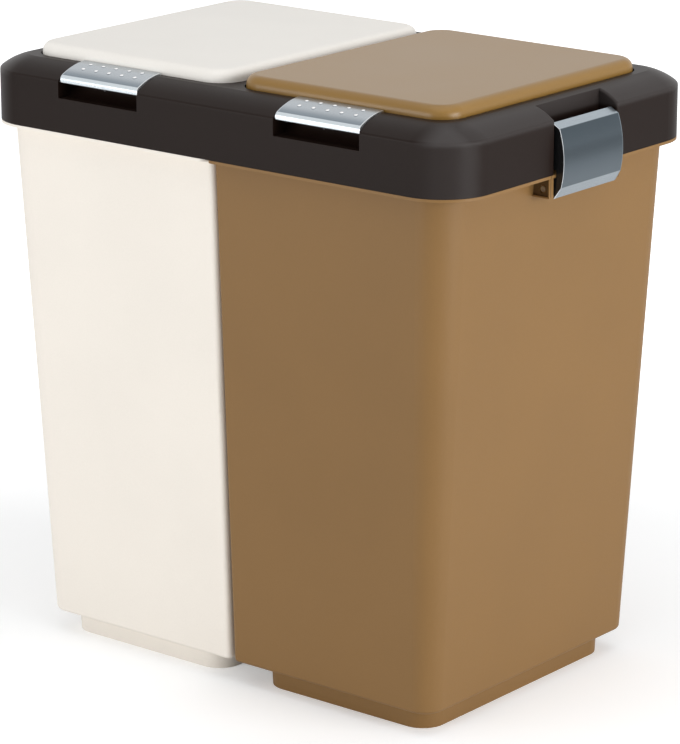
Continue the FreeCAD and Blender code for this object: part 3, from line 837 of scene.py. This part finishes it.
@dataclass
class Studio:
    """Pale floor, white surroundings, soft lamps and the camera."""

    floor_size: float = 14.0
    floor_colour: Colour = (0.85, 0.86, 0.87)
    floor_fade: tuple[float, float] = (0.38, 1.1)
    near_lift: float = 0.30
    far_lift: float = 0.85
    gloss_lift: float = 0.1
    ambient: float = 0.55
    camera_place: Point = (1.83263, -2.25891, 1.0775)
    camera_tilt: float = 73.883
    camera_turn: float = 38.851
    sensor: float = 36.0
    focal: float = 192.39
    shift: tuple[float, float] = (-0.01177, -0.00282)
    clip: tuple[float, float] = (0.1, 30.0)

    def build(self) -> None:
        """Set up everything round the object."""
        self._floor()
        self._world()
        for lamp in LAMPS:
            lamp.build()
        self._camera()
        bpy.context.scene.view_settings.view_transform = "Standard"

    @staticmethod
    def _mirrored(tree: Tree) -> Wire:
        """1 for rays that show the surroundings in gloss or through glass."""
        gloss = tree.add("ShaderNodeLightPath", out="Is Glossy Ray")
        glass = tree.add("ShaderNodeLightPath", out="Is Transmission Ray")
        return gloss.larger(glass)

    @staticmethod
    def _seen(tree: Tree) -> Wire:
        """1 for rays that come straight from the camera."""
        return tree.add("ShaderNodeLightPath", out="Is Camera Ray")

    def _floor(self) -> None:
        """Lay the pale floor under the object."""
        half = self.floor_size / 2
        mesh = bpy.data.meshes.new("studio_floor")
        corners = [(-half, -half, 0.0), (half, -half, 0.0), (half, half, 0.0), (-half, half, 0.0)]
        mesh.from_pydata(corners, [], [(0, 1, 2, 3)])
        floor = bpy.data.objects.new("studio_floor", mesh)
        bpy.context.scene.collection.objects.link(floor)
        shader = Shader("pale_floor")
        x, y = shader.along("X"), shader.along("Y")
        away = (x * x + y * y).root().step(*self.floor_fade)
        matt = shader.add("ShaderNodeBsdfDiffuse", {}, {"Color": self.floor_colour})
        lift = self._seen(shader) * (self.near_lift + away * (self.far_lift - self.near_lift))
        lift = lift + self._mirrored(shader) * self.gloss_lift
        glow = shader.add("ShaderNodeEmission", {}, {"Strength": lift})
        both = shader.add("ShaderNodeAddShader", {}, {0: matt, 1: glow})
        shader.add("ShaderNodeOutputMaterial", {}, {"Surface": both})
        mesh.materials.append(shader.material)

    def _world(self) -> None:
        """White to the camera, dimmer as a source of light."""
        world = bpy.data.worlds.new("studio_world")
        bpy.context.scene.world = world
        world.use_nodes = True
        tree = Tree(world.node_tree)
        shown = self._seen(tree).larger(self._mirrored(tree))
        level = self.ambient + shown * (1.0 - self.ambient)
        back = tree.add("ShaderNodeBackground", {}, {"Color": (1.0, 1.0, 1.0), "Strength": level})
        tree.add("ShaderNodeOutputWorld", {}, {"Surface": back})

    def _camera(self) -> None:
        """Put the camera where the photograph was taken from."""
        lens = bpy.data.cameras.new("view_camera")
        lens.sensor_fit = "HORIZONTAL"
        lens.sensor_width = self.sensor
        lens.lens = self.focal
        lens.shift_x, lens.shift_y = self.shift
        lens.clip_start, lens.clip_end = self.clip
        holder = bpy.data.objects.new("view_camera", lens)
        holder.location = self.camera_place
        holder.rotation_euler = (math.radians(self.camera_tilt), 0.0, math.radians(self.camera_turn))
        bpy.context.scene.collection.objects.link(holder)
        bpy.context.scene.camera = holder


def main() -> None:
    """Dress the object and set up the studio."""
    logging.basicConfig(level=logging.INFO, format="%(name)s: %(message)s")
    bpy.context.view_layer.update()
    finishes = Finishes()
    BinPair(finishes).build()
    LidFrame(finishes).build()
    for side in Side:
        Lid(finishes, side).build()
        PushButton(finishes, side).build()
        SideClamp(finishes, side).build()
    Studio().build()


if __name__ == "__main__":
    main()
